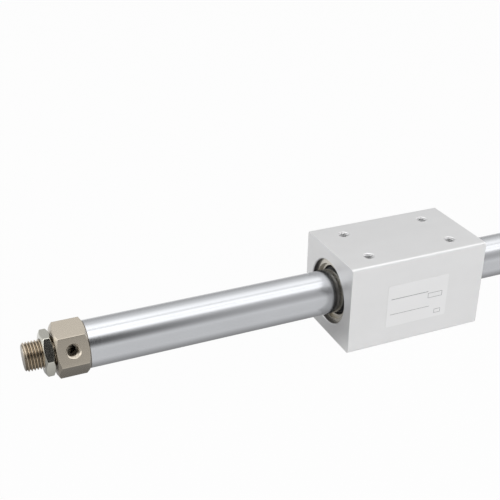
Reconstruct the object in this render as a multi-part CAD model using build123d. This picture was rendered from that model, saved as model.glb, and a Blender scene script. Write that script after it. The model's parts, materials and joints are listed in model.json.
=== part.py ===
from build123d import *
from math import radians, sqrt, tan
import os

# Magnetically coupled rodless air cylinder, basic type: 15 mm bore, 300 mm stroke, all in mm.
# A tube with a screwed cover at each end holds a sealed magnetic piston. A square slider block
# with a second set of magnets runs on the outside of the tube and follows the piston.
#
# Frame: the origin is on the tube's axis, half way along it. +X runs along the tube, +Z is the
# normal of the block's tapped top face, and the block's front, with the label, faces -Y.

# Travel
stroke = 300.0
rest_gap = 92.6  # from the left cover's shoulder to the block's left face, as it stands
shoulder_gap = 0.1  # left between the block and a cover's shoulder at the end of the stroke
stop_gap = 0.05  # left between a bumper and a cover's spigot at the end of the stroke

# Fits, each a radial clearance unless it says otherwise
running_gap = 0.02  # wear rings and seal lips on the surface they rub on
static_gap = 0.02  # a piece pushed into or over another that it never leaves
magnet_gap = 0.4  # between the tube's wall and the magnets on each side of it
yoke_gap = 0.25  # between the tube's wall and the yokes on each side of it
end_float = 0.05  # axial play of a ring in its groove, at each side

# Tube
tube_bore = 15.0
tube_wall = 0.8
tube_edge_break = 0.2

# Magnet stacks, the same lengths inside and outside the tube
magnet_count = 4
magnet_length = 4.5
yoke_length = 2.4
stack_edge_break = 0.2

# Piston
shaft_d = 6.0
shaft_thread_d = 5.0
shaft_thread_pitch = 0.8
shaft_end_break = 0.4
shaft_socket_flats = 2.5  # hexagon socket in each end of the shaft
shaft_socket_depth = 2.0
piston_gap = 0.2
piston_land = 0.75
seal_width = 2.0
seal_depth = 2.0
wear_ring_width = 2.0
wear_ring_wall = 1.2
wear_ring_slit = 0.5
bumper_thickness = 1.8
bumper_wall = 1.7
bumper_recess = 0.8  # how far the bumper stands proud of the piston's nose
nose_d = 8.4

# Tube covers
hex_flats = 17.0
hex_length = 11.0
hex_face_share = 0.95  # diameter of a hexagon's chamfer circle over its width across flats
hex_chamfer_angle = 30.0
neck_thread_d = 10.0
neck_thread_pitch = 1.0
neck_length = 10.0
neck_end_chamfer = 0.7
gasket_width = 1.8
gasket_depth = 1.4
gasket_setback = 1.5  # from the shoulder to the gasket's groove
spigot_chamfer = 0.5

# Air ports, one in a flat of each cover, turned up from the block's front about the tube
port_tilt = 23.0
port_setback = 5.5  # from the cover's outer face to the port's axis
port_tap_drill = 4.2
port_tap_depth = 6.0
port_countersink_d = 5.2
port_countersink_angle = 90.0
air_passage_d = 3.0

# Nut on each neck
nut_flats = 14.0
nut_thickness = 3.5
nut_gap = 0.4  # from the cover's face to the nut
nut_tilt = 37.5  # of the flat nearest the block's front, turned up about the tube
nut_countersink = 0.3  # outside the thread's diameter

# Slider's end set: what stands between the magnets and the block's end face
end_recess = 1.5
circlip_thickness = 1.2
circlip_groove_depth = 0.6
circlip_width = 2.9  # opposite its gap
circlip_taper = 0.55  # half of what the band loses towards its gap
circlip_gap = 5.0
circlip_lug_r = 2.0
circlip_lug_hole = 1.8
circlip_turn = 135.0  # of its gap, from the top and down behind the tube
spacer_thickness = 1.2
spacer_bore_gap = 1.2
scraper_width = 2.9
scraper_depth = 2.4
scraper_lip_wall = 0.6
retainer_width = 2.0
retainer_wall = 1.9
housing_web = 0.6
housing_wall = 1.78
slider_ring_width = 4.0
slider_ring_wall = 1.2
slider_ring_slit = 0.8

# Slider block
block_wall = 5.0
block_edge_radius = 1.2
block_end_break = 0.2
block_bore_break = 0.3

# Tapped mounting holes in the block's top and bottom faces
hole_pitch_x = 35.0
hole_pitch_y = 19.0
hole_tap_drill = 3.3
hole_depth = 6.5
hole_point_angle = 118.0
hole_countersink_d = 4.4
hole_countersink_angle = 120.0

# Label on the block's front
label_length = 26.0
label_height = 17.5
label_thickness = 0.1
label_corner_r = 0.6
label_drop = 1.0  # of its centre below the tube's axis


# Sizes that follow
tube_od = tube_bore + 2 * tube_wall
stack_length = magnet_count * magnet_length + (magnet_count + 1) * yoke_length

scraper_d = tube_od + 2 * scraper_depth
retainer_d = tube_od + 2 * (running_gap + retainer_wall)
slider_ring_bore = tube_od + 2 * running_gap
slider_ring_d = slider_ring_bore + 2 * slider_ring_wall
slider_ring_pocket_d = slider_ring_d + 2 * running_gap
slider_ring_pocket = slider_ring_width + 2 * end_float
housing_length = scraper_width + retainer_width + housing_web + slider_ring_pocket
housing_d = scraper_d + 2 * housing_wall
block_bore = housing_d + 2 * static_gap
block_side = block_bore + 2 * block_wall
end_set = end_recess + circlip_thickness + spacer_thickness + housing_length
block_length = stack_length + 2 * end_set
exposed_length = block_length + stroke + 2 * shoulder_gap
slider_x = -exposed_length / 2 + rest_gap + block_length / 2

piston_d = tube_bore - 2 * piston_gap
seal_seat_d = piston_d - 2 * seal_depth
wear_ring_d = tube_bore - 2 * running_gap
wear_ring_bore = wear_ring_d - 2 * wear_ring_wall
piston_length = 3 * piston_land + seal_width + wear_ring_width + 4 * end_float
spigot_length = end_set + shoulder_gap - stop_gap - piston_length - bumper_thickness
bumper_d = nose_d + 2 * (static_gap + bumper_wall)
gasket_seat_d = tube_bore - 2 * gasket_depth


def pitch_diameter(thread_d, pitch):
    """Where an outside and an inside thread meet: engaged threads are drawn at this diameter."""
    return thread_d - 0.6495 * pitch


# Basic forms, all about the X axis
def turned(*outline):
    """A solid turned from the (x, radius) points of its half section."""
    points = [(x, 0, r) for x, r in outline]
    return revolve(make_face(Polyline(*points, close=True)), Axis.X)


def ring(inner_d, outer_d, start, width, edge_break=0.0, edge_radius=0.0):
    """A ring that begins at start, with its four edges sharp, bevelled or rounded."""
    middle = Pos(start + width / 2, (inner_d + outer_d) / 4)
    section = middle * Rectangle(width, (outer_d - inner_d) / 2)
    if edge_break:
        section = chamfer(section.vertices(), edge_break)
    if edge_radius:
        section = fillet(section.vertices(), edge_radius)
    return revolve(Plane.XZ * section, Axis.X)


def rod(diameter, start, length):
    """A plain round bar that begins at start."""
    return extrude(Plane.YZ.offset(start) * Circle(diameter / 2), length)


def hex_bar(across_flats, start, length):
    """A hexagon bar with one flat towards -Y and all its corners chamfered at both ends."""
    outline = RegularPolygon(across_flats / 2, 6, major_radius=False, rotation=30)
    bar = extrude(Plane.YZ.offset(start) * outline, length)
    face_r = hex_face_share * across_flats / 2
    beyond_corner_r = 1.2 * across_flats / sqrt(3)
    depth = (beyond_corner_r - face_r) * tan(radians(hex_chamfer_angle))
    end = start + length
    barrel = turned(
        (start, 0),
        (start, face_r),
        (start + depth, beyond_corner_r),
        (end - depth, beyond_corner_r),
        (end, face_r),
        (end, 0),
    )
    return bar & barrel


def countersunk_hole(drill_d, depth, mouth_d, mouth_angle, point_angle=0.0):
    """A hole down -Z from the origin, with a conical mouth and, if asked, a drill's point."""
    flare = (mouth_d - drill_d) / 2
    mouth_depth = flare / tan(radians(mouth_angle / 2))
    point = drill_d / 2 / tan(radians(point_angle / 2)) if point_angle else 0.0
    outline = [
        (0, 0, mouth_depth),
        (mouth_d / 2 + flare, 0, mouth_depth),
        (drill_d / 2, 0, -mouth_depth),
        (drill_d / 2, 0, -depth),
        (0, 0, -depth - point),
    ]
    return revolve(make_face(Polyline(*outline, close=True)), Axis.Z)


def split_ring(inner_d, outer_d, start, width, slit):
    """A wear ring: a band with a slanted slit at the top, so that it can be sprung into place."""
    band = ring(inner_d, outer_d, start, width, edge_break=0.1)
    cutter = Box(3 * width, slit, outer_d - inner_d)
    middle = Pos(start + width / 2, 0, (inner_d + outer_d) / 4)
    return band - middle * Rot(Z=45) * cutter


# Tube and covers, drawn with the tube's left end at x = 0
def cylinder_tube():
    tube = ring(tube_bore, tube_od, 0, exposed_length)
    rims = [tube.faces().sort_by(Axis.X)[i].edges().sort_by(SortBy.RADIUS)[-1] for i in (0, -1)]
    return chamfer(rims, tube_edge_break)


def head_cover():
    hexagon = Rot(X=-port_tilt) * hex_bar(hex_flats, -hex_length, hex_length)
    neck_r = neck_thread_d / 2
    engaged_r = pitch_diameter(neck_thread_d, neck_thread_pitch) / 2
    free_thread = hex_length + nut_gap + nut_thickness
    tip = hex_length + neck_length
    neck = turned(
        (-hex_length, 0),
        (-hex_length, engaged_r),
        (-free_thread, engaged_r),
        (-free_thread, neck_r),
        (-tip + neck_end_chamfer, neck_r),
        (-tip, neck_r - neck_end_chamfer),
        (-tip, 0),
    )
    spigot_r = tube_bore / 2 - static_gap
    seat_r = gasket_seat_d / 2
    groove_end = gasket_setback + gasket_width + 2 * end_float
    spigot = turned(
        (0, 0),
        (0, spigot_r),
        (gasket_setback, spigot_r),
        (gasket_setback, seat_r),
        (groove_end, seat_r),
        (groove_end, spigot_r),
        (spigot_length - spigot_chamfer, spigot_r),
        (spigot_length, spigot_r - spigot_chamfer),
        (spigot_length, 0),
    )
    port_x = port_setback - hex_length
    passage = rod(air_passage_d, port_x, spigot_length - port_x)
    mouth = countersunk_hole(
        port_tap_drill, port_tap_depth, port_countersink_d, port_countersink_angle
    )
    drilling = mouth + Pos(0, 0, -hex_flats / 2) * Cylinder(
        air_passage_d / 2, hex_flats / 2, align=(Align.CENTER, Align.CENTER, Align.MIN)
    )
    port = Pos(port_x, 0, 0) * Rot(X=90 - port_tilt) * Pos(0, 0, hex_flats / 2) * drilling
    return hexagon + neck + spigot - passage - port


def tube_gasket():
    start = gasket_setback + end_float
    return ring(gasket_seat_d, tube_bore, start, gasket_width, edge_radius=0.6)


def mounting_nut():
    start = -hex_length - nut_gap - nut_thickness
    body = Rot(X=-nut_tilt) * hex_bar(nut_flats, start, nut_thickness)
    bore_r = pitch_diameter(neck_thread_d, neck_thread_pitch) / 2
    mouth_r = neck_thread_d / 2 + nut_countersink
    depth = mouth_r - bore_r
    end = start + nut_thickness
    bore = turned(
        (start, 0),
        (start, mouth_r),
        (start + depth, bore_r),
        (end - depth, bore_r),
        (end, mouth_r),
        (end, 0),
    )
    return body - bore


# Piston and slider, drawn about their shared middle at x = 0
def stack(names, inner_d, outer_d, magnet_inset, yoke_inset):
    """Yokes and magnets in turn. An inset is what a piece's wall is short of, next to the tube."""
    pieces = {}
    step = magnet_length + yoke_length
    magnet_name, yoke_name = names
    for i in range(magnet_count + 1):
        start = -stack_length / 2 + i * step
        sizes = (inner_d + 2 * yoke_inset[0], outer_d - 2 * yoke_inset[1])
        pieces[f"{yoke_name}_{i + 1}"] = ring(*sizes, start, yoke_length, stack_edge_break)
    for i in range(magnet_count):
        start = -stack_length / 2 + yoke_length + i * step
        sizes = (inner_d + 2 * magnet_inset[0], outer_d - 2 * magnet_inset[1])
        pieces[f"{magnet_name}_{i + 1}"] = ring(*sizes, start, magnet_length, stack_edge_break)
    return pieces


def piston_shaft():
    body_r = shaft_d / 2
    thread_r = pitch_diameter(shaft_thread_d, shaft_thread_pitch) / 2
    half = stack_length / 2
    end = half + piston_length
    bar = turned(
        (-end, 0),
        (-end, thread_r - shaft_end_break),
        (-end + shaft_end_break, thread_r),
        (-half, thread_r),
        (-half, body_r),
        (half, body_r),
        (half, thread_r),
        (end - shaft_end_break, thread_r),
        (end, thread_r - shaft_end_break),
        (end, 0),
    )
    outline = RegularPolygon(shaft_socket_flats / 2, 6, major_radius=False)
    socket = extrude(Plane.YZ.offset(end - shaft_socket_depth) * outline, shaft_socket_depth)
    return bar - socket - mirror(socket, Plane.YZ)


def piston():
    """The left piston: wear ring groove next to the magnets, seal groove outside it, nose."""
    inner = stack_length / 2
    r = piston_d / 2
    seal_r = seal_seat_d / 2
    wear_r = wear_ring_bore / 2
    wear_start = inner + piston_land
    wear_end = wear_start + wear_ring_width + 2 * end_float
    seal_start = wear_end + piston_land
    seal_end = seal_start + seal_width + 2 * end_float
    face = inner + piston_length
    nose = face + bumper_thickness - bumper_recess
    thread_r = pitch_diameter(shaft_thread_d, shaft_thread_pitch) / 2
    return turned(
        (-inner, thread_r),
        (-inner, r),
        (-wear_start, r),
        (-wear_start, wear_r),
        (-wear_end, wear_r),
        (-wear_end, r),
        (-seal_start, r),
        (-seal_start, seal_r),
        (-seal_end, seal_r),
        (-seal_end, r),
        (-face, r),
        (-face, nose_d / 2),
        (-nose, nose_d / 2),
        (-nose, thread_r),
    )


def piston_wear_ring():
    start = -stack_length / 2 - piston_land - end_float - wear_ring_width
    return split_ring(wear_ring_bore, wear_ring_d, start, wear_ring_width, wear_ring_slit)


def piston_seal():
    """A two-lipped ring: its lips lean on the tube and a waist between them holds grease."""
    end = -stack_length / 2 - 2 * piston_land - wear_ring_width - 3 * end_float
    start = end - seal_width
    seat_r = seal_seat_d / 2
    lip_r = tube_bore / 2 - running_gap
    bevel = 0.12 * seal_width
    waist = 0.2 * seal_depth
    middle = (start + end) / 2
    return turned(
        (start, seat_r),
        (start, lip_r - 2 * bevel),
        (start + bevel, lip_r),
        (start + 2 * bevel, lip_r),
        (middle, lip_r - waist),
        (end - 2 * bevel, lip_r),
        (end - bevel, lip_r),
        (end, lip_r - 2 * bevel),
        (end, seat_r),
    )


def piston_bumper():
    start = -stack_length / 2 - piston_length - bumper_thickness
    bore = nose_d + 2 * static_gap
    return ring(bore, bumper_d, start, bumper_thickness, edge_radius=0.4)


def slider_block():
    block = Box(block_length, block_side, block_side)
    block = fillet(block.edges().filter_by(Axis.X), block_edge_radius)
    for i in (0, -1):
        block = chamfer(block.faces().sort_by(Axis.X)[i].edges(), block_end_break)
    half = block_length / 2
    bore_r = block_bore / 2
    mouth_r = bore_r + block_bore_break
    bore = turned(
        (-half, 0),
        (-half, mouth_r),
        (-half + block_bore_break, bore_r),
        (half - block_bore_break, bore_r),
        (half, mouth_r),
        (half, 0),
    )
    block -= bore
    groove_d = block_bore + 2 * circlip_groove_depth
    groove = rod(groove_d, -half + end_recess, circlip_thickness + 2 * end_float)
    block -= groove + mirror(groove, Plane.YZ)
    hole = countersunk_hole(
        hole_tap_drill, hole_depth, hole_countersink_d, hole_countersink_angle, hole_point_angle
    )
    top = GridLocations(hole_pitch_x, hole_pitch_y, 2, 2)
    holes = [Pos(0, 0, block_side / 2) * place * hole for place in top]
    return block - holes - [mirror(one, Plane.XY) for one in holes]


def bearing_housing():
    """Holds the scraper, the lube retainer and, against the magnets, the slider's wear ring."""
    start = -block_length / 2 + end_recess + circlip_thickness + spacer_thickness
    scraper_end = start + scraper_width
    retainer_end = scraper_end + retainer_width
    web_end = retainer_end + housing_web
    end = start + housing_length
    web_r = tube_od / 2 + magnet_gap
    return turned(
        (start, scraper_d / 2),
        (start, housing_d / 2),
        (end, housing_d / 2),
        (end, slider_ring_pocket_d / 2),
        (web_end, slider_ring_pocket_d / 2),
        (web_end, web_r),
        (retainer_end, web_r),
        (retainer_end, retainer_d / 2),
        (scraper_end, retainer_d / 2),
        (scraper_end, scraper_d / 2),
    )


def slider_wear_ring():
    start = -stack_length / 2 - end_float - slider_ring_width
    return split_ring(
        slider_ring_bore, slider_ring_d, start, slider_ring_width, slider_ring_slit
    )


def lube_retainer():
    start = -stack_length / 2 - slider_ring_pocket - housing_web - retainer_width
    return ring(tube_od + 2 * running_gap, retainer_d, start, retainer_width, edge_radius=0.3)


def scraper():
    """A rubber ring whose lip leans outwards along the tube, into the spacer's bore."""
    start = -block_length / 2 + end_recess + circlip_thickness + spacer_thickness
    end = start + scraper_width
    lip_tip = start - 0.9 * spacer_thickness
    lip_r = tube_od / 2 + running_gap
    root_r = lip_r + 2 * scraper_lip_wall
    return turned(
        (start, scraper_d / 2),
        (end, scraper_d / 2),
        (end, root_r),
        (start + scraper_width / 3, root_r - scraper_lip_wall),
        (lip_tip + scraper_lip_wall / 2, lip_r),
        (lip_tip, lip_r),
        (lip_tip, lip_r + scraper_lip_wall / 2),
        (start, root_r - scraper_lip_wall / 2),
    )


def spacer():
    start = -block_length / 2 + end_recess + circlip_thickness
    return ring(tube_od + 2 * spacer_bore_gap, housing_d, start, spacer_thickness, 0.15)


def retaining_ring():
    """An internal circlip: an eccentric band with two drilled lugs beside its gap."""
    outer_r = block_bore / 2 + circlip_groove_depth - static_gap
    inner_r = outer_r - circlip_width + circlip_taper
    band = Circle(outer_r) - Pos(0, circlip_taper) * Circle(inner_r)
    lug_x = circlip_gap / 2 + circlip_lug_r
    lug_y = sqrt((outer_r - circlip_lug_r - circlip_groove_depth) ** 2 - lug_x**2)
    lugs = [Pos(side * lug_x, lug_y) * Circle(circlip_lug_r) for side in (-1, 1)]
    holes = [Pos(side * lug_x, lug_y) * Circle(circlip_lug_hole / 2) for side in (-1, 1)]
    gap = Pos(0, outer_r) * Rectangle(circlip_gap, outer_r)
    outline = Rot(Z=-circlip_turn) * (band + lugs - holes - gap)
    start = -block_length / 2 + end_recess
    return extrude(Plane.YZ.offset(start) * outline, circlip_thickness)


def rating_label():
    """A thin blank plate on the block's front face."""
    face = Plane((0, -block_side / 2, -label_drop), x_dir=(1, 0, 0), z_dir=(0, -1, 0))
    outline = RectangleRounded(label_length, label_height, label_corner_r)
    return extrude(face * outline, label_thickness)


# Assembly
def pair(name, left):
    """The left-hand piece and its mirror image."""
    return {f"{name}_left": left, f"{name}_right": mirror(left, Plane.YZ)}


def stationary_parts():
    left_end = Pos(-exposed_length / 2, 0, 0)
    return {
        "cylinder_tube": left_end * cylinder_tube(),
        **pair("head_cover", left_end * head_cover()),
        **pair("tube_gasket", left_end * tube_gasket()),
        **pair("mounting_nut", left_end * mounting_nut()),
    }


def moving_parts():
    pieces = {
        "piston_shaft": piston_shaft(),
        **pair("piston", piston()),
        **pair("piston_wear_ring", piston_wear_ring()),
        **pair("piston_seal", piston_seal()),
        **pair("piston_bumper", piston_bumper()),
        **stack(
            ("inner_magnet", "inner_yoke"),
            shaft_d,
            tube_bore,
            (static_gap, magnet_gap),
            (static_gap, yoke_gap),
        ),
        "slider_block": slider_block(),
        **stack(
            ("outer_magnet", "outer_yoke"),
            tube_od,
            block_bore,
            (magnet_gap, static_gap),
            (yoke_gap, static_gap),
        ),
        **pair("bearing_housing", bearing_housing()),
        **pair("slider_wear_ring", slider_wear_ring()),
        **pair("lube_retainer", lube_retainer()),
        **pair("scraper", scraper()),
        **pair("spacer", spacer()),
        **pair("retaining_ring", retaining_ring()),
        "rating_label": rating_label(),
    }
    return {name: Pos(slider_x, 0, 0) * piece for name, piece in pieces.items()}


os.makedirs("parts", exist_ok=True)
for node, solid in {**stationary_parts(), **moving_parts()}.items():
    export_step(solid, f"parts/{node}.step")
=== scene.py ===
import json
from math import atan2, ceil, cos, floor, hypot, pi, radians, sin, tan

import bmesh
import bpy
from mathutils import Matrix, Vector


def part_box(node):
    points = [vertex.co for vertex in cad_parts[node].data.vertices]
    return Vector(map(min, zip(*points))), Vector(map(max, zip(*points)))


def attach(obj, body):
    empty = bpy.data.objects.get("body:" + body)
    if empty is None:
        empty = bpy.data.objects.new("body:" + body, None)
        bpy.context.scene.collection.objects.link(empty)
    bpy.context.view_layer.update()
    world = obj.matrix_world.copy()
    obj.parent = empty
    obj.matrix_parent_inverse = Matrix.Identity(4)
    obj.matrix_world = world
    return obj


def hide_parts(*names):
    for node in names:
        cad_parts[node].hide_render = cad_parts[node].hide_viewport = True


# A magnetically coupled rodless air cylinder. Lengths are in millimetres until a point is made.
# The part's frame: +X along the tube from its middle, +Z up through the block, the front at -Y.

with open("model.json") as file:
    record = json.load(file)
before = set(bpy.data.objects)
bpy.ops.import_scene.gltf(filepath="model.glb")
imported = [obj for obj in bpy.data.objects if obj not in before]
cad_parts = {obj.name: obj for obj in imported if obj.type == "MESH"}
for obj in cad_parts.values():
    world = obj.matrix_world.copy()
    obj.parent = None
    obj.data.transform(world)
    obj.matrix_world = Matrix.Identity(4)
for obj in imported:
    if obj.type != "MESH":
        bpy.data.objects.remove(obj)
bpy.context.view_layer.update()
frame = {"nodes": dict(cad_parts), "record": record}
nodes = frame["nodes"]

MM = 0.001
SIDES = {"left": -1, "right": 1}

# The photograph's camera
CAMERA_PLACE = (-226.854, -249.647, 165.512)
CAMERA_AZIMUTH = 23.5576
CAMERA_ELEVATION = 27.4776
CAMERA_ROLL = 0.461
CAMERA_LENS = 62.9605
CAMERA_CLIP_START = 10.0
SENSOR_WIDTH = 36.0

# Meshes
ARC_STEPS = 4
TUBE_STEPS = 192
BORE_STEPS = 160
RING_STEPS = 128
HOLE_STEPS = 48
WELD_DISTANCE = 0.0005
SLIVER_LENGTH = 0.0001
SHARP_ANGLE = 28.0
NORMAL_WEIGHT = 80
CUT_MARGIN = 1.0  # how far a cutter stands out of what it cuts

# Edges of the CAD nodes that are shown as they are
COPLANAR_ANGLE = 1.0
BEVEL_WIDTH = 0.06
BEVEL_SEGMENTS = 2
BEVEL_ANGLE = 40.0

# Screw threads: shares of the pitch, with 60 degree flanks
CREST_SHARE = 0.125
THREAD_DEPTH_SHARE = 0.6134
FLANK_SHARE = THREAD_DEPTH_SHARE * tan(radians(30))
THREAD_CLEARANCE = 0.04

# Hexagons
HEX_FACE_SHARE = 0.95
HEX_CHAMFER_ANGLE = 30.0
HEX_CORNER_R = 0.3
HEX_EDGE_R = 0.12
FLAT_STEPS = 14
CORNER_STEPS = 4

# Tube
TUBE_WALL = 0.8
TUBE_EDGE_R = 0.2
TUBE_PARTS = 24  # lengths that the outside is divided into

# Tube covers
COVER_FLATS = 17.0
NECK_D = 10.0
NECK_PITCH = 1.0
NECK_LENGTH = 10.0
NECK_CHAMFER = 0.7
NECK_SHADE = (4.4, 4.75, 0.4)  # painted shade in the thread's roots: the radius where it is darkest and where it ends, and the share of the tone at its darkest
SPIGOT_R = 7.48
SPIGOT_CHAMFER = 0.5
SPIGOT_EDGE_R = 0.1
GASKET_SEAT_R = 6.1
GASKET_END_FLOAT = 0.05
GROOVE_EDGE_R = 0.08
PORT_TILT = 23.0
PORT_SETBACK = 5.5
PORT_THREAD_D = 5.0
PORT_PITCH = 0.8
PORT_DRILL_D = 4.2
PORT_THREAD_DEPTH = 5.0
PORT_DEPTH = 6.0
PORT_MOUTH_D = 5.2
PORT_MOUTH_ANGLE = 90.0
PASSAGE_D = 3.0
PASSAGE_EDGE_R = 0.15

# Neck nuts
NUT_FLATS = 14.0
NUT_TILT = 37.5
NUT_MOUTH_R = 5.3
NUT_MINOR_R = 4.46

# Slider block
BLOCK_EDGE_R = 1.2
BLOCK_EDGE_STEPS = 10
BLOCK_END_R = 0.2
BLOCK_END_STEPS = 4
BORE_MOUTH = 0.3
BORE_CLEARANCE = 0.02  # round the spacers and the retaining rings
RING_END_FLOAT = 0.1
HOLE_THREAD_D = 4.0
HOLE_PITCH = 0.7
HOLE_DRILL_D = 3.3
HOLE_THREAD_DEPTH = 6.0
HOLE_DEPTH = 6.5
HOLE_MOUTH_D = 4.4
HOLE_MOUTH_ANGLE = 120.0
HOLE_POINT_ANGLE = 118.0

# Spacers and scrapers
SPACER_GAP = 1.2  # from the tube to a spacer
SPACER_EDGE_R = 0.2
SCRAPER_WALL = 0.6
SCRAPER_SEAT_R = 0.15
SCRAPER_HEEL_R = 0.1
LIP_CLEARANCE = 0.02
LIP_INSIDE_R = 0.3
LIP_OUTSIDE_R = 0.2
LIP_END_RADII = (0.05, 0.04, 0.12)

# Label
LABEL_CORNER_R = 0.6
LABEL_STEPS = 5
MARK_THICKNESS = 0.02
MARK_CORNER_R = 0.08
MARK_HOLE_R = 0.05
# Its marks: the middle's x from the block's left face, its z, width, height and frame, 0 when solid
LABEL_MARKS = (
    (25.0, 1.9, 16.0, 0.22, 0),
    (25.5, -4.6, 17.0, 0.16, 0),
    (36.1, 0.1, 6.2, 2.1, 0.14),
    (37.8, -7.3, 2.8, 1.7, 0.14),
)

# Finishes: colour, metallic, roughness from and to, repeats of the grain in a millimetre, depth of
# the grain, share by which the colour varies, and whether the grain runs round the tube's axis
FINISHES = {
    "tube_steel": ((0.54, 0.55, 0.57), 1.0, (0.17, 0.23), (6, 6, 0), 0.0004, 0.015, True),
    "plated_brass": ((0.485, 0.438, 0.368), 1.0, (0.22, 0.30), (3, 3, 3), 0.0006),
    "plated_nut": ((0.60, 0.59, 0.53), 1.0, (0.12, 0.19), (3, 3, 3), 0.0004),
    "plated_steel": ((0.66, 0.63, 0.56), 1.0, (0.26, 0.36), (5, 5, 0), 0.002, 0.03, True),
    "spring_steel": ((0.60, 0.57, 0.51), 1.0, (0.22, 0.34), (4, 4, 4), 0.002),
    "anodised_aluminium": ((0.74, 0.74, 0.742), 0.6, (0.36, 0.46), (9, 9, 9), 0.004, 0.012),
    "housing_aluminium": ((0.66, 0.67, 0.68), 0.9, (0.32, 0.42), (5, 5, 0), 0.003, 0.03, True),
    "shaft_steel": ((0.52, 0.53, 0.54), 1.0, (0.22, 0.32), (6, 6, 0), 0.001, 0.03, True),
    "yoke_steel": ((0.60, 0.57, 0.47), 1.0, (0.26, 0.38), (5, 5, 0), 0.002, 0.04, True),
    "magnet": ((0.13, 0.13, 0.14), 0.8, (0.35, 0.5), (5, 5, 0), 0.002, 0.06, True),
    "black_rubber": ((0.018, 0.018, 0.019), 0.0, (0.5, 0.65), (4, 4, 4), 0.006, 0.1),
    "urethane": ((0.62, 0.42, 0.16), 0.0, (0.3, 0.42), (4, 4, 4), 0.003, 0.05),
    "wear_resin": ((0.24, 0.13, 0.07), 0.0, (0.45, 0.6), (4, 4, 4), 0.004, 0.12),
    "porous_resin": ((0.72, 0.67, 0.55), 0.0, (0.6, 0.8), (7, 7, 7), 0.012, 0.08),
    "label_film": ((0.80, 0.80, 0.803), 0.5, (0.28, 0.36), (3, 3, 3), 0.002, 0.008),
}
MARK_INK = ((0.20, 0.20, 0.21), 0.0, (0.45, 0.6), (3, 3, 3), 0.0005)
# The neck's thread: a lighter, warmer brass than the cover's plating, darkened in its roots by painted
# shade
THREAD_BRASS = ((0.56, 0.48, 0.375), 1.0, (0.24, 0.34), (3, 3, 3), 0.001)
# Painted shade: the block's bore wall between its mouths, near black for the shade inside the bore
PAINTED_SHADE_IN_BORE = ((0.09, 0.09, 0.09), 0.8, (0.34, 0.46), (5, 5, 0), 0.002, 0.03, True)
GRAIN_DETAIL = 3.0
MOTTLE_REPEATS = (0.06, 0.11, 0.11)
MOTTLE_DETAIL = 2.0
NOISE_MIDDLE = (0.3, 0.7)  # the stretch of a noise's values that is used

# Studio, in metres
FLOOR_GAP = 0.00005  # from the block's bottom down to the floor
FLOOR_REACH = 4.0
FLOOR_TONE = 0.75
FLOOR_WHITENESS = (0.97, 0.8)  # to the camera, and to metal and glass
FILL_LIGHT = 0.3
REFLECTOR_REACH = (-1.5, 2.5)  # of the reflectors along X
GAIN_STRETCH = (-0.11, 0.20)  # where a reflector's gain goes from its first value to its second


# Sizes read from the frame
def extent(node):
    """A CAD node's lowest and highest corner, in millimetres."""
    low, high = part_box(node)
    return low / MM, high / MM


def shared_mount(name):
    """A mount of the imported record."""
    return next(m for m in frame["record"]["mounts"] if m["name"] == name)


# Surfaces
def point(x, r, angle):
    """A point by its place along the tube, its distance from the axis and its angle from the front."""
    return Vector((x, -r * cos(angle), r * sin(angle))) * MM


def even_angles(count):
    return [2 * pi * i / count for i in range(count)]


def closed(angles):
    """The angles once round, with the first repeated at the end."""
    return [*angles, angles[0] + 2 * pi]


def rounded(outline):
    """The (x, r) points of an outline, with an arc at each corner given as (x, r, radius)."""
    points = []
    for i, (x, r, *radius) in enumerate(outline):
        if not radius:
            points.append((x, r))
            continue
        corner = Vector((x, r))
        before = (Vector(outline[i - 1][:2]) - corner).normalized()
        after = (Vector(outline[(i + 1) % len(outline)][:2]) - corner).normalized()
        half = before.angle(after) / 2
        centre = corner + (before + after).normalized() * radius[0] / sin(half)
        reach = radius[0] / tan(half)
        start = corner + before * reach - centre
        end = corner + after * reach - centre
        for k in range(ARC_STEPS + 1):
            spoke = start.lerp(end, k / ARC_STEPS).normalized() * radius[0]
            points.append(tuple(centre + spoke))
    return points


def turned(outline, angles, side=1):
    """Columns of a surface about the tube's axis. The outline is a list, or a function of the angle."""
    columns = []
    for angle in closed(angles):
        points = outline(angle) if callable(outline) else outline
        columns.append([point(side * x, r, angle) for x, r in points])
    return columns


def helical(start, end, datum, pitch, lead, radius, angles, side=1):
    """Columns of a threaded surface from start to end. The radius is a function of x and phase."""
    crest = CREST_SHARE / 2
    root = crest + FLANK_SHARE
    parts = (0, crest, (crest + root) / 2, root, 0.5, 1 - root, 1 - (crest + root) / 2, 1 - crest)
    first = floor((start - datum) / pitch) - 2
    last = ceil((end - datum) / pitch) + 2
    steps = [whole + part for whole in range(first, last) for part in parts]
    columns = []
    for angle in closed(angles):
        offset = datum + lead * angle / (2 * pi)
        column = []
        for step in steps:
            x = min(max(offset + pitch * step, start), end)
            column.append(point(side * x, radius(x, (x - offset) / pitch), angle))
        columns.append(column)
    return columns


def thread_radius(phase, crest_r, pitch):
    """A thread's radius at a phase of its pitch, which is 0 at the middle of the crest."""
    from_crest = abs((phase + 0.5) % 1 - 0.5)
    share = min(max(from_crest - CREST_SHARE / 2, 0) / FLANK_SHARE, 1)
    return crest_r - share * THREAD_DEPTH_SHARE * pitch


def hexagon(flats, tilt):
    """Angles round a hexagon with rounded corners and a flat at the tilt, and the distance at each."""
    apothem = flats / 2
    centre = (apothem - HEX_CORNER_R) / cos(pi / 6)
    reach = pi / 6 - atan2(HEX_CORNER_R / 2, centre + HEX_CORNER_R * cos(pi / 6))
    outline = []
    for k in range(6):
        middle = radians(tilt) + k * pi / 3
        for i in range(FLAT_STEPS):
            angle = reach * (2 * i / FLAT_STEPS - 1)
            outline.append((middle + angle, apothem / cos(angle)))
        for i in range(CORNER_STEPS):
            spoke = pi / 3 * (i / CORNER_STEPS - 0.5)
            across = HEX_CORNER_R * sin(spoke)
            outwards = centre + HEX_CORNER_R * cos(spoke)
            outline.append((middle + pi / 6 + atan2(across, outwards), hypot(across, outwards)))
    angles, distances = zip(*outline)
    return angles, dict(zip(closed(angles), (*distances, distances[0])))


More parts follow.
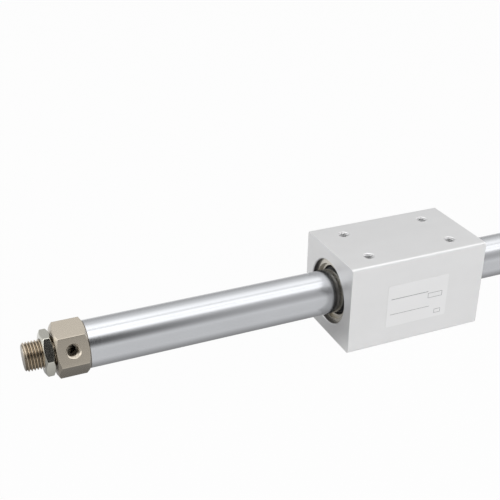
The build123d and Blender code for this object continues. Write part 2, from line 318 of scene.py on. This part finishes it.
def hex_sides(start, end, flats, distance):
    """Corner points of a hexagon bar's section at one angle, with its chamfered ends."""
    face_r = HEX_FACE_SHARE * flats / 2
    depth = (distance - face_r) * tan(radians(HEX_CHAMFER_ANGLE))
    return [
        (start, face_r, HEX_EDGE_R),
        (start + depth, distance, HEX_EDGE_R),
        (end - depth, distance, HEX_EDGE_R),
        (end, face_r, HEX_EDGE_R),
    ]


def rounded_rectangle(width, height, radius, steps, inset=0):
    """Points round a rectangle about the origin, with rounded corners, drawn in by the inset."""
    points = []
    for corner in range(4):
        middle = pi / 4 + corner * pi / 2
        across = (width / 2 - radius) * (1 if cos(middle) > 0 else -1)
        up = (height / 2 - radius) * (1 if sin(middle) > 0 else -1)
        for k in range(steps + 1):
            angle = middle + pi / 2 * (k / steps - 0.5)
            points.append((across + (radius - inset) * cos(angle), up + (radius - inset) * sin(angle)))
    return points


def plate_columns(centre, outer, inner, back, front):
    """Columns of a flat plate whose outer and inner outlines are (x, z) points about its centre."""
    columns = []
    for i in range(len(outer) + 1):
        x, z = outer[i % len(outer)]
        hole_x, hole_z = inner[i % len(inner)]
        edge = [(x, z, back), (x, z, front), (hole_x, hole_z, front), (hole_x, hole_z, back), (x, z, back)]
        columns.append([Vector((centre[0] + a, y, centre[1] + b)) * MM for a, b, y in edge])
    return columns


# Pieces
def build(name, *surfaces, caps=()):
    """An object of the welded surfaces, each a list of columns, and of flat caps."""
    shape = bmesh.new()
    for columns in surfaces:
        rows = [[shape.verts.new(p) for p in column] for column in columns]
        for near, far in zip(rows, rows[1:]):
            for k in range(len(near) - 1):
                shape.faces.new((near[k], near[k + 1], far[k + 1], far[k]))
    for cap in caps:
        shape.faces.new([shape.verts.new(p) for p in cap])
    bmesh.ops.remove_doubles(shape, verts=shape.verts, dist=WELD_DISTANCE * MM)
    bmesh.ops.dissolve_degenerate(shape, edges=shape.edges, dist=SLIVER_LENGTH * MM)
    bmesh.ops.recalc_face_normals(shape, faces=shape.faces)
    mesh = bpy.data.meshes.new(name)
    shape.to_mesh(mesh)
    shape.free()
    piece = bpy.data.objects.new(name, mesh)
    bpy.context.scene.collection.objects.link(piece)
    return piece


def cut(piece, cutters):
    """Takes the cutters' shapes out of the piece."""
    for cutter in cutters:
        modifier = piece.modifiers.new(cutter.name, "BOOLEAN")
        modifier.operation = "DIFFERENCE"
        modifier.solver = "EXACT"
        modifier.object = cutter
    depsgraph = bpy.context.evaluated_depsgraph_get()
    mesh = bpy.data.meshes.new_from_object(piece.evaluated_get(depsgraph))
    piece.modifiers.clear()
    piece.data = mesh
    for cutter in cutters:
        bpy.data.objects.remove(cutter)


def smooth(piece):
    """Smooth shading that stays crisp at edges, with flat faces kept flat."""
    piece.data.polygons.foreach_set("use_smooth", [True] * len(piece.data.polygons))
    piece.data.set_sharp_from_angle(angle=radians(SHARP_ANGLE))
    modifier = piece.modifiers.new("weighted_normals", "WEIGHTED_NORMAL")
    modifier.keep_sharp = True
    modifier.weight = NORMAL_WEIGHT


def dress(piece, node):
    """Gives a piece its finish and body, and lets it stand for its CAD node."""
    smooth(piece)
    slot = slot_of[node]
    piece.data.materials.clear()
    piece.data.materials.append(materials[slot])
    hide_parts(node)
    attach(piece, body_of[node])


def second_material_where(piece, material, chosen):
    """Gives faces that are chosen by x and by their distance from the axis a second material, one with
    painted shade.
    """
    piece.data.materials.append(material)
    for polygon in piece.data.polygons:
        x, y, z = polygon.center / MM
        if chosen(x, hypot(y, z)):
            polygon.material_index = 1


def tapped_hole(name, thread_d, pitch, drill_d, thread_depth, mouth_d, mouth_angle, bottom):
    """A cutter for a tapped hole that goes down +X from its mouth and ends in the bottom's points."""
    angles = even_angles(HOLE_STEPS)
    drill_r = drill_d / 2
    crest_r = thread_d / 2 + THREAD_CLEARANCE
    slope = tan(radians(mouth_angle / 2))

    def radius(x, phase):
        cone = mouth_d / 2 - x * slope
        return max(thread_radius(phase, crest_r, pitch), drill_r, cone)

    wall = helical(-CUT_MARGIN, thread_depth, 0, pitch, -pitch, radius, angles)
    mouth = [[column[0], point(-CUT_MARGIN, 0, 0)] for column in wall]
    end = turned([(thread_depth, drill_r), *bottom], angles)
    step = [[column[-1], tail[0]] for column, tail in zip(wall, end)]
    return build(name, mouth, wall, step, end)


def aim(cutter, place, inwards):
    """Moves a cutter made down +X to its place, in millimetres, and turns it inwards."""
    turn = Vector((1, 0, 0)).rotation_difference(Vector(inwards)).to_matrix().to_4x4()
    cutter.data.transform(Matrix.Translation(Vector(place) * MM) @ turn)
    return cutter


def cylinder_tube():
    low, high = extent("cylinder_tube")
    outer_r = high.z
    inner_r = outer_r - TUBE_WALL
    rings = [low.x + (high.x - low.x) * i / TUBE_PARTS for i in range(1, TUBE_PARTS)]
    outline = rounded([
        (low.x, inner_r),
        (low.x, outer_r, TUBE_EDGE_R),
        *[(x, outer_r) for x in rings],
        (high.x, outer_r, TUBE_EDGE_R),
        (high.x, inner_r),
        (low.x, inner_r),
    ])
    piece = build("cylinder_tube_finished", turned(outline, even_angles(TUBE_STEPS)))
    dress(piece, "cylinder_tube")


def head_cover(end):
    """A tube cover, drawn outwards from the tube's middle."""
    side = SIDES[end]
    node = f"head_cover_{end}"
    low, high = extent(node)
    tip = max(abs(low.x), abs(high.x))
    spigot_end = min(abs(low.x), abs(high.x))
    shoulder = extent("cylinder_tube")[1].x
    face = tip - NECK_LENGTH
    port_x = face - PORT_SETBACK
    gasket_low, gasket_high = extent("tube_gasket_right")
    groove = (gasket_low.x - GASKET_END_FLOAT, gasket_high.x + GASKET_END_FLOAT)
    neck_r = NECK_D / 2
    passage_r = PASSAGE_D / 2
    angles, distances = hexagon(COVER_FLATS, PORT_TILT)
    lead = -side * NECK_PITCH

    def neck_radius(x, phase):
        return min(thread_radius(phase, neck_r, NECK_PITCH), neck_r - NECK_CHAMFER + tip - x)

    def section(angle):
        start_r = neck_radius(face, -lead * angle / (2 * pi) / NECK_PITCH)
        return rounded([
            (port_x, 0),
            (port_x, passage_r),
            (spigot_end, passage_r, PASSAGE_EDGE_R),
            (spigot_end, SPIGOT_R - SPIGOT_CHAMFER, SPIGOT_EDGE_R),
            (spigot_end + SPIGOT_CHAMFER, SPIGOT_R, SPIGOT_EDGE_R),
            (groove[0], SPIGOT_R, GROOVE_EDGE_R),
            (groove[0], GASKET_SEAT_R),
            (groove[1], GASKET_SEAT_R),
            (groove[1], SPIGOT_R, GROOVE_EDGE_R),
            (shoulder, SPIGOT_R),
            *hex_sides(shoulder, face, COVER_FLATS, distances[angle]),
            (face, start_r),
        ])

    neck = helical(face, tip, face, NECK_PITCH, lead, neck_radius, angles, side)
    end_face = [[column[-1], point(side * tip, 0, 0)] for column in neck]
    piece = build(f"{node}_finished", turned(section, angles, side), neck, end_face)

    flat_r = COVER_FLATS / 2
    bottom = [
        (PORT_DEPTH, PORT_DRILL_D / 2),
        (PORT_DEPTH, passage_r),
        (flat_r, passage_r),
        (flat_r, 0),
    ]
    port = tapped_hole(
        f"port_{end}", PORT_THREAD_D, PORT_PITCH, PORT_DRILL_D,
        PORT_THREAD_DEPTH, PORT_MOUTH_D, PORT_MOUTH_ANGLE, bottom,
    )
    outwards = point(0, 1, radians(PORT_TILT)) / MM
    place = Vector((side * port_x, 0, 0)) + outwards * flat_r
    cut(piece, [aim(port, place, -outwards)])
    dress(piece, node)
    root_r = neck_r - THREAD_DEPTH_SHARE * NECK_PITCH

    def on_thread(x, r):
        on_neck = face < abs(x) < tip - THREAD_CLEARANCE
        return on_neck and root_r - THREAD_CLEARANCE < r < neck_r

    # The neck's thread gets its brass with painted shade in the roots
    second_material_where(piece, neck_thread_painted_shade, on_thread)


def mounting_nut(end):
    """A neck's nut, whose thread follows the neck's."""
    side = SIDES[end]
    node = f"mounting_nut_{end}"
    low, high = extent(node)
    start = min(abs(low.x), abs(high.x))
    stop = max(abs(low.x), abs(high.x))
    datum = extent("head_cover_right")[1].x - NECK_LENGTH
    angles, distances = hexagon(NUT_FLATS, NUT_TILT)
    crest_r = NECK_D / 2 + THREAD_CLEARANCE

    def radius(x, phase):
        mouth = NUT_MOUTH_R - min(x - start, stop - x)
        return max(thread_radius(phase, crest_r, NECK_PITCH), NUT_MINOR_R, mouth)

    def section(angle):
        sides = hex_sides(start, stop, NUT_FLATS, distances[angle])
        return rounded([(start, NUT_MOUTH_R), *sides, (stop, NUT_MOUTH_R)])

    lead = -side * NECK_PITCH
    bore = helical(start, stop, datum, NECK_PITCH, lead, radius, angles, side)
    piece = build(f"{node}_finished", turned(section, angles, side), bore)
    dress(piece, node)


def block_body(middle, half, half_height):
    """The block's bar, with its long edges and its ends' edges rounded."""
    rows = []
    for k in range(BLOCK_END_STEPS + 1):
        turn = pi / 2 * k / BLOCK_END_STEPS
        rows.append((half - BLOCK_END_R * (1 - sin(turn)), BLOCK_END_R * (1 - cos(turn))))
    stations = [(middle - x, inset) for x, inset in reversed(rows)]
    stations += [(middle + x, inset) for x, inset in rows]
    size = 2 * half_height
    rings = []
    for x, inset in stations:
        outline = rounded_rectangle(size, size, BLOCK_EDGE_R, BLOCK_EDGE_STEPS, inset)
        rings.append([Vector((x, y, z)) * MM for y, z in outline])
    columns = [[ring[i % len(ring)] for ring in rings] for i in range(len(rings[0]) + 1)]
    return build("slider_block_finished", columns, caps=(rings[0], rings[-1]))


def block_bore(middle, half, groove_r):
    """A cutter for the block's bore, with the retaining rings' grooves."""
    ring_low, ring_high = extent("retaining_ring_left")
    bore_r = extent("spacer_left")[1].z + BORE_CLEARANCE
    groove = (middle - ring_low.x, middle - ring_high.x - RING_END_FLOAT)
    mouth = half + CUT_MARGIN
    right = [
        (groove[1], bore_r),
        (groove[1], groove_r),
        (groove[0], groove_r),
        (groove[0], bore_r),
        (half - BORE_MOUTH, bore_r),
        (mouth, bore_r + BORE_MOUTH + CUT_MARGIN),
        (mouth, 0),
    ]
    left = [(-x, r) for x, r in reversed(right)]
    profile = [(middle + x, r) for x, r in left + right]
    return build("bore", turned(profile, even_angles(BORE_STEPS)))


def block_holes():
    """Cutters for the tapped holes in the block's top and bottom."""
    point_depth = HOLE_DRILL_D / 2 / tan(radians(HOLE_POINT_ANGLE / 2))
    bottom = [(HOLE_DEPTH, HOLE_DRILL_D / 2), (HOLE_DEPTH + point_depth, 0)]
    holes = []
    for name in ("slider_top_holes", "slider_bottom_holes"):
        mount = shared_mount(name)
        outwards = Vector(mount["axis"])
        centre = Vector(mount["pos_m"]) / MM
        across = mount["dims"]["spacing_x_mm"] / 2, mount["dims"]["spacing_y_mm"] / 2
        for sx in (-1, 1):
            for sy in (-1, 1):
                hole = tapped_hole(
                    "hole", HOLE_THREAD_D, HOLE_PITCH, HOLE_DRILL_D,
                    HOLE_THREAD_DEPTH, HOLE_MOUTH_D, HOLE_MOUTH_ANGLE, bottom,
                )
                place = centre + Vector((sx * across[0], sy * across[1], 0))
                holes.append(aim(hole, place, -outwards))
    return holes


def slider_block():
    low, high = extent("slider_block")
    middle = (low.x + high.x) / 2
    half = (high.x - low.x) / 2
    groove_r = extent("retaining_ring_left")[1].z + BORE_CLEARANCE
    piece = block_body(middle, half, high.z)
    cut(piece, [block_bore(middle, half, groove_r), *block_holes()])
    dress(piece, "slider_block")

    def in_bore(x, r):
        return abs(x - middle) < half - BORE_MOUTH and r < groove_r

    # Painted shade: the bore's wall between its mouths gets the near-black material
    second_material_where(piece, bore_painted_shade_material, in_bore)


def spacer(end):
    """A plated washer, stamped, with rounded edges."""
    node = f"spacer_{end}"
    low, high = extent(node)
    inner_r = extent("cylinder_tube")[1].z + SPACER_GAP
    outline = rounded([
        (low.x, inner_r, SPACER_EDGE_R),
        (low.x, high.z, SPACER_EDGE_R),
        (high.x, high.z, SPACER_EDGE_R),
        (high.x, inner_r, SPACER_EDGE_R),
    ])
    outline.append(outline[0])
    piece = build(f"{node}_finished", turned(outline, even_angles(RING_STEPS)))
    dress(piece, node)


def scraper(end):
    """The rubber lip ring at the block's mouth."""
    side = SIDES[end]
    node = f"scraper_{end}"
    low, high = extent(node)
    centre = sum(v.x for v in extent("slider_block")) / 2
    inner = min(abs(low.x - centre), abs(high.x - centre))
    lip_tip = max(abs(low.x - centre), abs(high.x - centre))
    face = extent("spacer_right")[0].x - centre
    width = face - inner
    lip_r = extent("cylinder_tube")[1].z + LIP_CLEARANCE
    root_r = lip_r + 2 * SCRAPER_WALL
    outline = rounded([
        (face, high.z, SCRAPER_SEAT_R),
        (inner, high.z, SCRAPER_SEAT_R),
        (inner, root_r, SCRAPER_HEEL_R),
        (face - width / 3, root_r - SCRAPER_WALL, LIP_INSIDE_R),
        (lip_tip - SCRAPER_WALL / 2, lip_r, LIP_END_RADII[0]),
        (lip_tip, lip_r, LIP_END_RADII[1]),
        (lip_tip, lip_r + SCRAPER_WALL / 2, LIP_END_RADII[2]),
        (face, root_r - SCRAPER_WALL / 2, LIP_OUTSIDE_R),
    ])
    outline.append(outline[0])
    profile = [(centre + side * x, r) for x, r in outline]
    piece = build(f"{node}_finished", turned(profile, even_angles(RING_STEPS)))
    dress(piece, node)


def rating_label():
    """A blank film with two ruled lines and two empty boxes."""
    low, high = extent("rating_label")
    centre = ((low.x + high.x) / 2, (low.z + high.z) / 2)
    front = low.y + MARK_THICKNESS
    solid = [(0, 0)]
    outer = rounded_rectangle(high.x - low.x, high.z - low.z, LABEL_CORNER_R, LABEL_STEPS)
    film = plate_columns(centre, outer, solid, high.y, front)
    dress(build("rating_label_finished", film), "rating_label")

    block_left = extent("slider_block")[0].x
    marks = []
    for x, z, width, height, line in LABEL_MARKS:
        shape = rounded_rectangle(width, height, MARK_CORNER_R, LABEL_STEPS)
        hole = solid
        if line:
            hole = rounded_rectangle(width - 2 * line, height - 2 * line, MARK_HOLE_R, LABEL_STEPS)
        marks.append(plate_columns((block_left + x, z), shape, hole, front, low.y))
    piece = build("rating_label_marks", *marks)
    smooth(piece)
    piece.data.materials.append(mark_ink)
    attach(piece, body_of["rating_label"])


def refine(node):
    """Rounds the edges of a CAD node that is shown as it is, with modifiers alone."""
    piece = nodes[node]
    weld = piece.modifiers.new("weld", "WELD")
    weld.merge_threshold = WELD_DISTANCE * MM
    flatten = piece.modifiers.new("flatten", "DECIMATE")
    flatten.decimate_type = "DISSOLVE"
    flatten.angle_limit = radians(COPLANAR_ANGLE)
    bevel = piece.modifiers.new("bevel", "BEVEL")
    bevel.width = BEVEL_WIDTH * MM
    bevel.segments = BEVEL_SEGMENTS
    bevel.limit_method = "ANGLE"
    bevel.angle_limit = radians(BEVEL_ANGLE)
    bevel.harden_normals = True
    piece.data.materials.clear()
    piece.data.materials.append(materials[slot_of[node]])


# Materials
def new_material(name):
    material = bpy.data.materials.new(name)
    material.use_nodes = True
    return material, material.node_tree.nodes, material.node_tree.links


def noise(tree_nodes, links, vector, repeats, detail):
    """Noise that repeats so many times in a millimetre along x, y and z."""
    mapping = tree_nodes.new("ShaderNodeMapping")
    mapping.inputs["Scale"].default_value = [n / MM for n in repeats]
    texture = tree_nodes.new("ShaderNodeTexNoise")
    texture.inputs["Scale"].default_value = 1.0
    texture.inputs["Detail"].default_value = detail
    links.new(vector, mapping.inputs["Vector"])
    links.new(mapping.outputs["Vector"], texture.inputs["Vector"])
    return texture.outputs["Fac"]


def eased(tree_nodes, links, value, start, end, low=0.0, high=1.0, curve="SMOOTHSTEP"):
    """Goes from low at the start to high at the end, smoothly unless the curve says otherwise."""
    step = tree_nodes.new("ShaderNodeMapRange")
    step.interpolation_type = curve
    step.inputs["From Min"].default_value = start
    step.inputs["From Max"].default_value = end
    step.inputs["To Min"].default_value = low
    step.inputs["To Max"].default_value = high
    links.new(value, step.inputs["Value"])
    return step.outputs["Result"]


def ranged(tree_nodes, links, value, low, high):
    """The middle of a noise's range, spread from low to high."""
    return eased(tree_nodes, links, value, *NOISE_MIDDLE, low, high, "LINEAR")


def about_axis(tree_nodes, links, vector):
    """(x, distance from the tube's axis, 0): what is alike all round a turned surface."""
    flat = tree_nodes.new("ShaderNodeVectorMath")
    flat.operation = "MULTIPLY"
    flat.inputs[1].default_value = (0, 1, 1)
    distance = tree_nodes.new("ShaderNodeVectorMath")
    distance.operation = "LENGTH"
    split = tree_nodes.new("ShaderNodeSeparateXYZ")
    joined = tree_nodes.new("ShaderNodeCombineXYZ")
    links.new(vector, flat.inputs[0])
    links.new(flat.outputs["Vector"], distance.inputs[0])
    links.new(vector, split.inputs["Vector"])
    links.new(split.outputs["X"], joined.inputs["X"])
    links.new(distance.outputs["Value"], joined.inputs["Y"])
    return joined.outputs["Vector"]


def surface(name, colour, metallic, roughness, grain, depth, mottle=0.03, lathe=False):
    """A finish with grain in its gloss and relief, and a slight unevenness of colour."""
    material, tree_nodes, links = new_material(name)
    shader = tree_nodes["Principled BSDF"]
    shader.inputs["Metallic"].default_value = metallic
    place = tree_nodes.new("ShaderNodeTexCoord").outputs["Object"]
    along = about_axis(tree_nodes, links, place) if lathe else place
    fine = noise(tree_nodes, links, along, grain, GRAIN_DETAIL)
    broad = noise(tree_nodes, links, place, MOTTLE_REPEATS, MOTTLE_DETAIL)

    tone = tree_nodes.new("ShaderNodeMix")
    tone.data_type = "RGBA"
    tone.inputs["A"].default_value = [c * (1 - mottle) for c in colour] + [1]
    tone.inputs["B"].default_value = [min(c * (1 + mottle), 1) for c in colour] + [1]
    links.new(ranged(tree_nodes, links, broad, 0, 1), tone.inputs["Factor"])
    links.new(tone.outputs["Result"], shader.inputs["Base Color"])
    links.new(ranged(tree_nodes, links, fine, *roughness), shader.inputs["Roughness"])

    relief = tree_nodes.new("ShaderNodeBump")
    relief.inputs["Distance"].default_value = depth * MM
    links.new(fine, relief.inputs["Height"])
    links.new(relief.outputs["Normal"], shader.inputs["Normal"])
    return material


def paint_groove_shade(material, root_r, crest_r, share):
    """Paints shade into a finish: its tone falls to a share in the roots of a thread round the tube's
    axis.
    """
    tree_nodes, links = material.node_tree.nodes, material.node_tree.links
    base = tree_nodes["Principled BSDF"].inputs["Base Color"]
    place = tree_nodes.new("ShaderNodeTexCoord").outputs["Object"]
    split = tree_nodes.new("ShaderNodeSeparateXYZ")
    links.new(about_axis(tree_nodes, links, place), split.inputs["Vector"])
    product = tree_nodes.new("ShaderNodeMix")
    product.data_type = "RGBA"
    product.blend_type = "MULTIPLY"
    product.inputs["Factor"].default_value = 1.0
    links.new(base.links[0].from_socket, product.inputs["A"])
    # Painted shade: darkest at the root radius, full tone at the crest radius
    depth = eased(tree_nodes, links, split.outputs["Y"], root_r * MM, crest_r * MM, share, 1.0)
    links.new(depth, product.inputs["B"])
    links.new(product.outputs["Result"], base)
    return material


# Studio
def camera():
    azimuth, elevation, roll = (
        radians(a) for a in (CAMERA_AZIMUTH, CAMERA_ELEVATION, CAMERA_ROLL)
    )
    level = cos(elevation)
    forward = Vector((sin(azimuth) * level, cos(azimuth) * level, -sin(elevation)))
    flat_right = forward.cross(Vector((0, 0, 1))).normalized()
    flat_up = flat_right.cross(forward)
    right = flat_right * cos(roll) + flat_up * sin(roll)
    up = right.cross(forward)
    data = bpy.data.cameras.new("camera")
    data.sensor_fit = "HORIZONTAL"
    data.sensor_width = SENSOR_WIDTH
    data.lens = CAMERA_LENS
    data.clip_start = CAMERA_CLIP_START * MM
    viewer = bpy.data.objects.new("camera", data)
    place = Matrix((right, up, -forward)).transposed().to_4x4()
    place.translation = Vector(CAMERA_PLACE) * MM
    viewer.matrix_world = place
    bpy.context.scene.collection.objects.link(viewer)
    bpy.context.scene.camera = viewer


def seen_share(tree_nodes, links, camera_share, mirror_share):
    """How far a ray of the camera, or one that metal or glass sends on, sees a plain white."""
    path = tree_nodes.new("ShaderNodeLightPath")
    total = None
    for output, share in (
        ("Is Camera Ray", camera_share),
        ("Is Glossy Ray", mirror_share),
        ("Is Transmission Ray", mirror_share),
    ):
        term = tree_nodes.new("ShaderNodeMath")
        term.operation = "MULTIPLY_ADD"
        term.use_clamp = True
        term.inputs[1].default_value = share
        term.inputs[2].default_value = 0
        links.new(path.outputs[output], term.inputs[0])
        if total:
            links.new(total, term.inputs[2])
        total = term.outputs[0]
    return total


def white_surroundings(fill):
    """White to the camera and in reflections, and a plain fill light for the rest."""
    world = bpy.data.worlds.new("surroundings")
    bpy.context.scene.world = world
    world.use_nodes = True
    tree_nodes, links = world.node_tree.nodes, world.node_tree.links
    plain = tree_nodes["Background"]
    plain.inputs["Color"].default_value = (1, 1, 1, 1)
    plain.inputs["Strength"].default_value = fill
    white = tree_nodes.new("ShaderNodeBackground")
    white.inputs["Color"].default_value = (1, 1, 1, 1)
    mix = tree_nodes.new("ShaderNodeMixShader")
    links.new(seen_share(tree_nodes, links, 1.0, 1.0), mix.inputs["Fac"])
    links.new(plain.outputs[0], mix.inputs[1])
    links.new(white.outputs[0], mix.inputs[2])
    links.new(mix.outputs[0], tree_nodes["World Output"].inputs["Surface"])


def panel(name, reach, edges, material):
    """A flat stage piece between two edges, each given as (y, z), with its reach along X."""
    low, high = reach
    (y0, z0), (y1, z1) = edges
    corners = [(low, y0, z0), (high, y0, z0), (high, y1, z1), (low, y1, z1)]
    mesh = bpy.data.meshes.new(name)
    mesh.from_pydata([Vector(c) for c in corners], [], [(0, 1, 2, 3)])
    mesh.materials.append(material)
    piece = bpy.data.objects.new(name, mesh)
    bpy.context.scene.collection.objects.link(piece)
    return piece


def studio_floor():
    """A white floor under the block, which keeps a faint shadow."""
    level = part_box("slider_block")[0].z - FLOOR_GAP
    material, tree_nodes, links = new_material("floor")
    tree_nodes.remove(tree_nodes["Principled BSDF"])
    matt = tree_nodes.new("ShaderNodeBsdfDiffuse")
    matt.inputs["Color"].default_value = (FLOOR_TONE, FLOOR_TONE, FLOOR_TONE, 1)
    glow = tree_nodes.new("ShaderNodeEmission")
    mix = tree_nodes.new("ShaderNodeMixShader")
    links.new(seen_share(tree_nodes, links, *FLOOR_WHITENESS), mix.inputs["Fac"])
    links.new(matt.outputs[0], mix.inputs[1])
    links.new(glow.outputs[0], mix.inputs[2])
    links.new(mix.outputs[0], tree_nodes["Material Output"].inputs["Surface"])
    edges = (-FLOOR_REACH, level), (FLOOR_REACH, level)
    panel("floor", (-FLOOR_REACH, FLOOR_REACH), edges, material)


def reflector(name, edges, gains, rise, fall, rim=1.0, reach=REFLECTOR_REACH):
    """A panel that only metal and glass see, whose middle is lighter or darker than its rim.

    The edges are its (y, z) at the front and at the back. Along the tube its gain goes from the
    first to the second of the gains, and across it rises and falls between shares of its width.
    """
    material, tree_nodes, links = new_material(name)
    tree_nodes.remove(tree_nodes["Principled BSDF"])
    glow = tree_nodes.new("ShaderNodeEmission")
    glow.inputs["Color"].default_value = (rim, rim, rim, 1)
    place = tree_nodes.new("ShaderNodeTexCoord")
    along = tree_nodes.new("ShaderNodeSeparateXYZ")
    across = tree_nodes.new("ShaderNodeSeparateXYZ")
    links.new(place.outputs["Object"], along.inputs[0])
    links.new(place.outputs["Generated"], across.inputs[0])
    strength = eased(tree_nodes, links, along.outputs["X"], *GAIN_STRETCH, *gains)
    for shares in (rise, fall):
        product = tree_nodes.new("ShaderNodeMath")
        product.operation = "MULTIPLY"
        links.new(strength, product.inputs[0])
        links.new(eased(tree_nodes, links, across.outputs["Y"], *shares), product.inputs[1])
        strength = product.outputs[0]
    total = tree_nodes.new("ShaderNodeMath")
    total.inputs[1].default_value = 1.0
    links.new(strength, total.inputs[0])
    links.new(total.outputs[0], glow.inputs["Strength"])
    links.new(glow.outputs[0], tree_nodes["Material Output"].inputs["Surface"])
    piece = panel(name, reach, edges, material)
    piece.visible_camera = False
    piece.visible_diffuse = False
    piece.visible_shadow = False


def softbox(name, place, target, size, radiance, in_reflections=False):
    """An area lamp that faces its target and shines with the given radiance."""
    data = bpy.data.lights.new(name, "AREA")
    data.shape = "RECTANGLE"
    data.size, data.size_y = size
    data.energy = radiance * pi * size[0] * size[1]
    lamp = bpy.data.objects.new(name, data)
    lamp.location = place
    lamp.rotation_euler = (Vector(target) - Vector(place)).to_track_quat("-Z", "Y").to_euler()
    lamp.visible_camera = False
    lamp.visible_glossy = in_reflections
    bpy.context.scene.collection.objects.link(lamp)


# The object
slot_of = {s["node"]: s["material_slot"] for s in frame["record"]["subparts"]}
body_of = {
    node: body for body, members in frame["record"]["behaviour"]["bodies"].items() for node in members
}
materials = {slot: surface(slot, *finish) for slot, finish in FINISHES.items()}
mark_ink = surface("mark_ink", *MARK_INK)
# The neck's thread brass, with painted shade in its roots
neck_thread_painted_shade = paint_groove_shade(surface("thread_brass_painted_shade", *THREAD_BRASS), *NECK_SHADE)
# Near-black material for the bore wall, as painted shade
bore_painted_shade_material = surface("bore_wall_painted_shade", *PAINTED_SHADE_IN_BORE)

cylinder_tube()
slider_block()
rating_label()
for end_name in SIDES:
    head_cover(end_name)
    mounting_nut(end_name)
    spacer(end_name)
    scraper(end_name)
for cad_node in nodes:
    if not nodes[cad_node].hide_render:
        refine(cad_node)

# The picture
bpy.context.scene.view_settings.view_transform = "Standard"
camera()
white_surroundings(FILL_LIGHT)
studio_floor()

# Dark panels on the camera's side
reflector(
    "camera_side", edges=((-0.929, 0.032), (-0.489, 0.753)), gains=(-0.97, -0.38),
    rise=(0, 0.5), fall=(1.1, 0.63))
reflector(
    "nut_flag", edges=((-0.62, 0.38), (-0.46, 0.6)), gains=(-0.98, -0.98),
    rise=(-2, -1), fall=(2, 1), reach=(-0.3, -0.056))

# Bright panels overhead, with gaps between them
reflector(
    "front_glow", edges=((-0.52, 0.8), (-0.215, 0.8)), gains=(1.0, 0.9),
    rise=(0, 0.2), fall=(1, 0.98))
reflector(
    "middle_glow", edges=((-0.197, 0.8), (0.03, 0.8)), gains=(1.0, 0.9),
    rise=(0, 0.02), fall=(1, 0.98))
reflector(
    "back_glow", edges=((0.10, 0.8), (1.2, 0.8)), gains=(1.0, 0.7),
    rise=(0, 0.02), fall=(0.6, 0.1))

# Shade behind the object, under the tube and under the left cover
reflector(
    "back_wall", edges=((0.75, 0.75), (1.0, -0.017)), gains=(-0.4, -0.4),
    rise=(-0.1, 0.7), fall=(2, 1))
reflector(
    "under_shade", edges=((-0.022, -0.0174), (0.045, -0.0174)), gains=(-0.6, -0.6),
    rise=(0, 0.33), fall=(1, 0.6), rim=0.92)
reflector(
    "cover_shade", edges=((-0.022, -0.0173), (0.045, -0.0173)), gains=(-0.74, -0.74),
    rise=(0, 0.3), fall=(1, 0.6), rim=0.92, reach=(-0.1885, -0.1765))

softbox("overhead", place=(0.1, -0.1, 0.8), target=(0.1, -0.1, 0.0), size=(1.1, 1.0), radiance=0.1)
softbox("front", place=(0.1, -1.0, 0.36), target=(-0.06, 0.0, 0.0), size=(0.8, 0.8), radiance=3.75)
softbox(
    "left", place=(-1.0, 0.25, 0.3), target=(-0.09, 0.0, 0.0), size=(0.7, 0.6), radiance=2.0,
    in_reflections=True)
